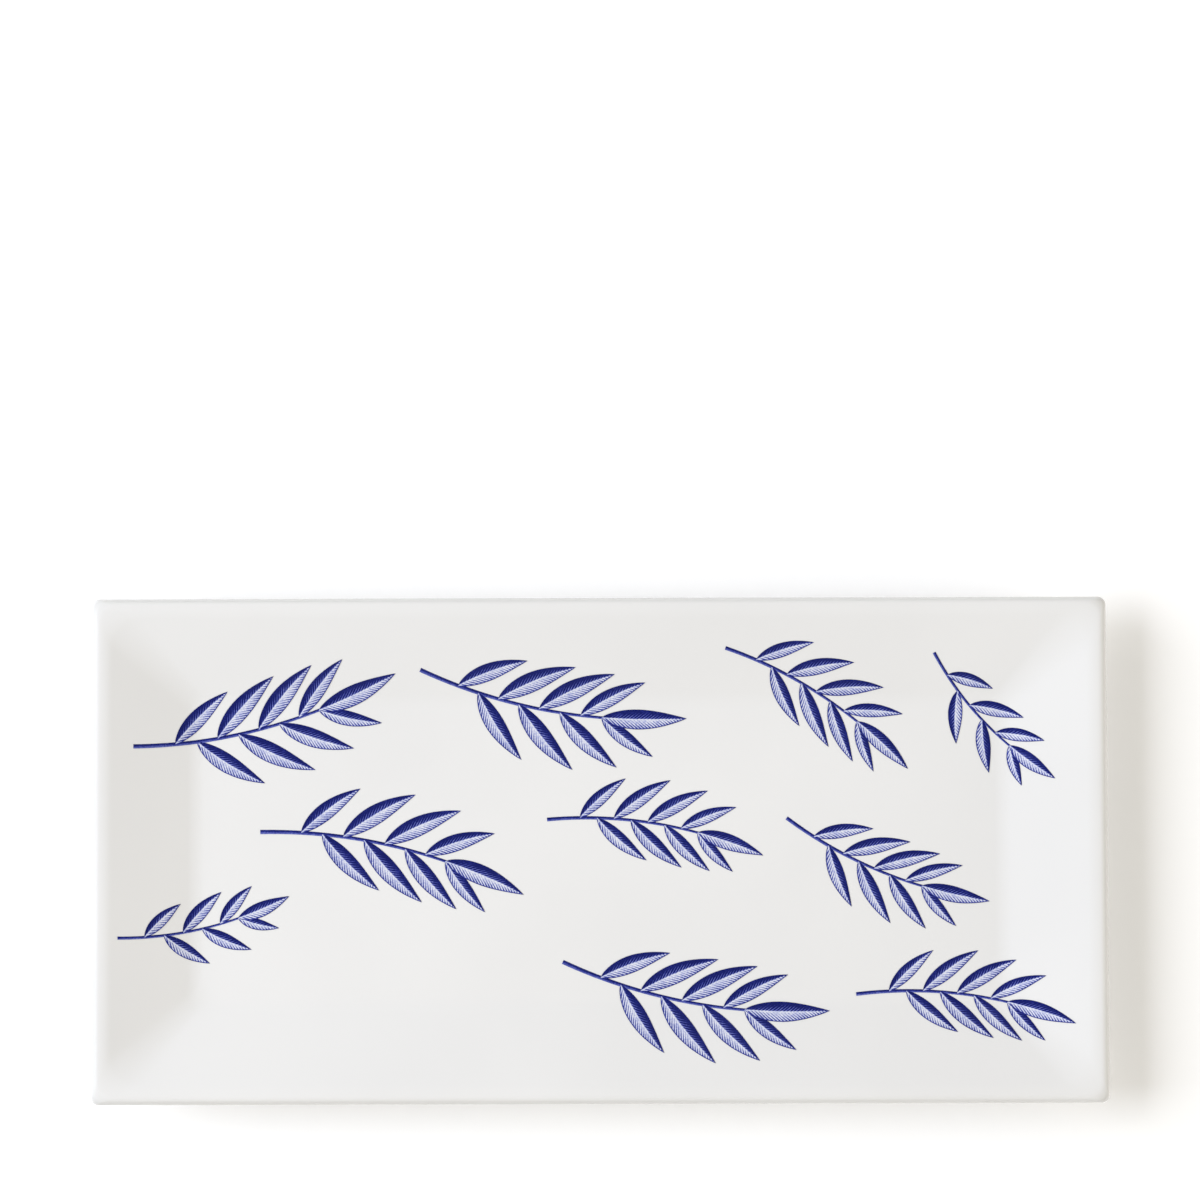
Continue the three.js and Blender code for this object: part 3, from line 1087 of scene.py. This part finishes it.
@dataclass(frozen=True)
class Softbox:
    """Square soft light that is aimed at the middle of the table.

    Its bearing is 0 at the right and grows anticlockwise, seen from above. It is flagged so that it doesn't
    glare in the glaze: it lights, and isn't mirrored.
    """

    name: str
    bearing: float
    elevation: float
    size: float
    power: float
    tint: str
    distance: float = 3.4

    def hang(self) -> None:
        """Hang the light."""
        lamp = bpy.data.lights.new(self.name, "AREA")
        lamp.shape = "SQUARE"
        lamp.size = self.size
        lamp.energy = self.power
        lamp.color = linear(self.tint)[:3]
        box = bpy.data.objects.new(self.name, lamp)
        level = math.cos(self.elevation)
        towards = Vector((
            level * math.cos(self.bearing), level * math.sin(self.bearing), math.sin(self.elevation),
        ))
        box.location = self.distance * towards
        box.rotation_euler = towards.to_track_quat("Z", "Y").to_euler()
        box.visible_glossy = False
        bpy.context.scene.collection.objects.link(box)


@dataclass(frozen=True)
class Studio:
    """White table between pale walls, with a key light at the left and a fill light at the right.

    The walls are brightest half way up. Heights on them are from 0 at the horizon to 1 overhead.
    """

    paper: str = "#fafafa"
    paper_roughness: float = 0.9
    paper_glow: float = 0.105
    table_size: float = 16.0
    wall_light: float = 0.92
    wall_tint: str = "#fffaf0"
    horizon_share: float = 0.12
    overhead_share: float = 0.15
    brightest_from: float = 0.5
    brightest_to: float = 0.66
    overhead_from: float = 0.9
    key: Softbox = Softbox(
        "key_softbox", bearing=math.radians(170), elevation=math.radians(33),
        size=2.6, power=122.0, tint="#f0f5ff",
    )
    fill: Softbox = Softbox(
        "fill_softbox", bearing=math.radians(-20), elevation=math.radians(20),
        size=2.0, power=38.0, tint="#fffaf0",
    )
    camera_place: Place = (0.00042, 0.00483, 1.6)
    camera_lean: float = math.radians(3.0)
    camera_roll: float = math.radians(-0.16)
    lens_mm: float = 135.35
    sensor_mm: float = 36.0

    def lay_table(self) -> None:
        """Lay the white paper that the tray stands on."""
        half = self.table_size / 2
        corners = [(-half, -half, 0.0), (half, -half, 0.0), (half, half, 0.0), (-half, half, 0.0)]
        table = new_piece("table_paper", corners, faces=[(0, 1, 2, 3)])
        # Uncoated paper is matt. Its glow stands for the exposure at which white paper washes out.
        material, tree = new_material("matt_paper")
        white = linear(self.paper)
        shader = add(
            tree, SHADER,
            named={
                "Base Color": white, "Roughness": self.paper_roughness, "Specular IOR Level": 0.0,
                "Emission Color": white, "Emission Strength": self.paper_glow,
            },
        )
        add(tree, MATERIAL_OUTPUT, shader)
        table.data.materials.append(material)

    def light_walls(self) -> None:
        """Light the walls round the table: pale, and darker overhead and towards the ground."""
        world = bpy.data.worlds.new("pale_studio")
        world.use_nodes = True
        tree = world.node_tree
        tree.nodes.clear()
        way = add(tree, COORDINATES).outputs["Generated"]
        height = add(tree, SPLIT, way).outputs["Z"]
        risen = add(tree, RANGE, height, 0.0, self.brightest_from, self.horizon_share, 1.0)
        dimmed = add(
            tree, RANGE, height, self.brightest_to, self.overhead_from, 1.0, self.overhead_share,
            interpolation_type="SMOOTHSTEP",
        )
        shaded = add(tree, MATH, risen, dimmed, operation="MULTIPLY")
        strength = add(tree, MATH, shaded, self.wall_light, operation="MULTIPLY")
        walls = add(tree, "ShaderNodeBackground", linear(self.wall_tint), strength)
        add(tree, "ShaderNodeOutputWorld", walls)
        bpy.context.scene.world = world

    def aim_camera(self) -> None:
        """Set the camera over the tray, leaning a little so that the tray lies low in the picture."""
        lens = bpy.data.cameras.new("photo_camera")
        lens.sensor_width = self.sensor_mm
        lens.lens = self.lens_mm
        camera = bpy.data.objects.new("photo_camera", lens)
        camera.matrix_world = (
            Matrix.Translation(self.camera_place)
            @ Matrix.Rotation(self.camera_lean, 4, "X")
            @ Matrix.Rotation(self.camera_roll, 4, "Z")
        )
        bpy.context.scene.collection.objects.link(camera)
        bpy.context.scene.camera = camera

    def set_up(self) -> None:
        """Set up the table, the light, the camera and plain tones."""
        self.lay_table()
        self.light_walls()
        self.key.hang()
        self.fill.hang()
        self.aim_camera()
        bpy.context.scene.view_settings.view_transform = "Standard"


def main() -> None:
    """Build the tray and its print, and set up the studio."""
    logging.basicConfig(level=logging.INFO, format="%(name)s: %(message)s")
    tray = TrayBody().build(GlazedPorcelain())
    LOG.info("%s: %d faces", tray.name, len(tray.data.polygons))
    transfer = CobaltTransfer()
    finishes = {part: transfer.material(part) for part in PrintPart}
    strokes = StrokeTree().build()
    for number, sprig in enumerate(SPRIGS, start=1):
        piece = sprig.build(number, tray, strokes, finishes)
        LOG.info("%s: %d faces", piece.name, len(piece.data.polygons))
    Studio().set_up()


if __name__ == "__main__":
    main()
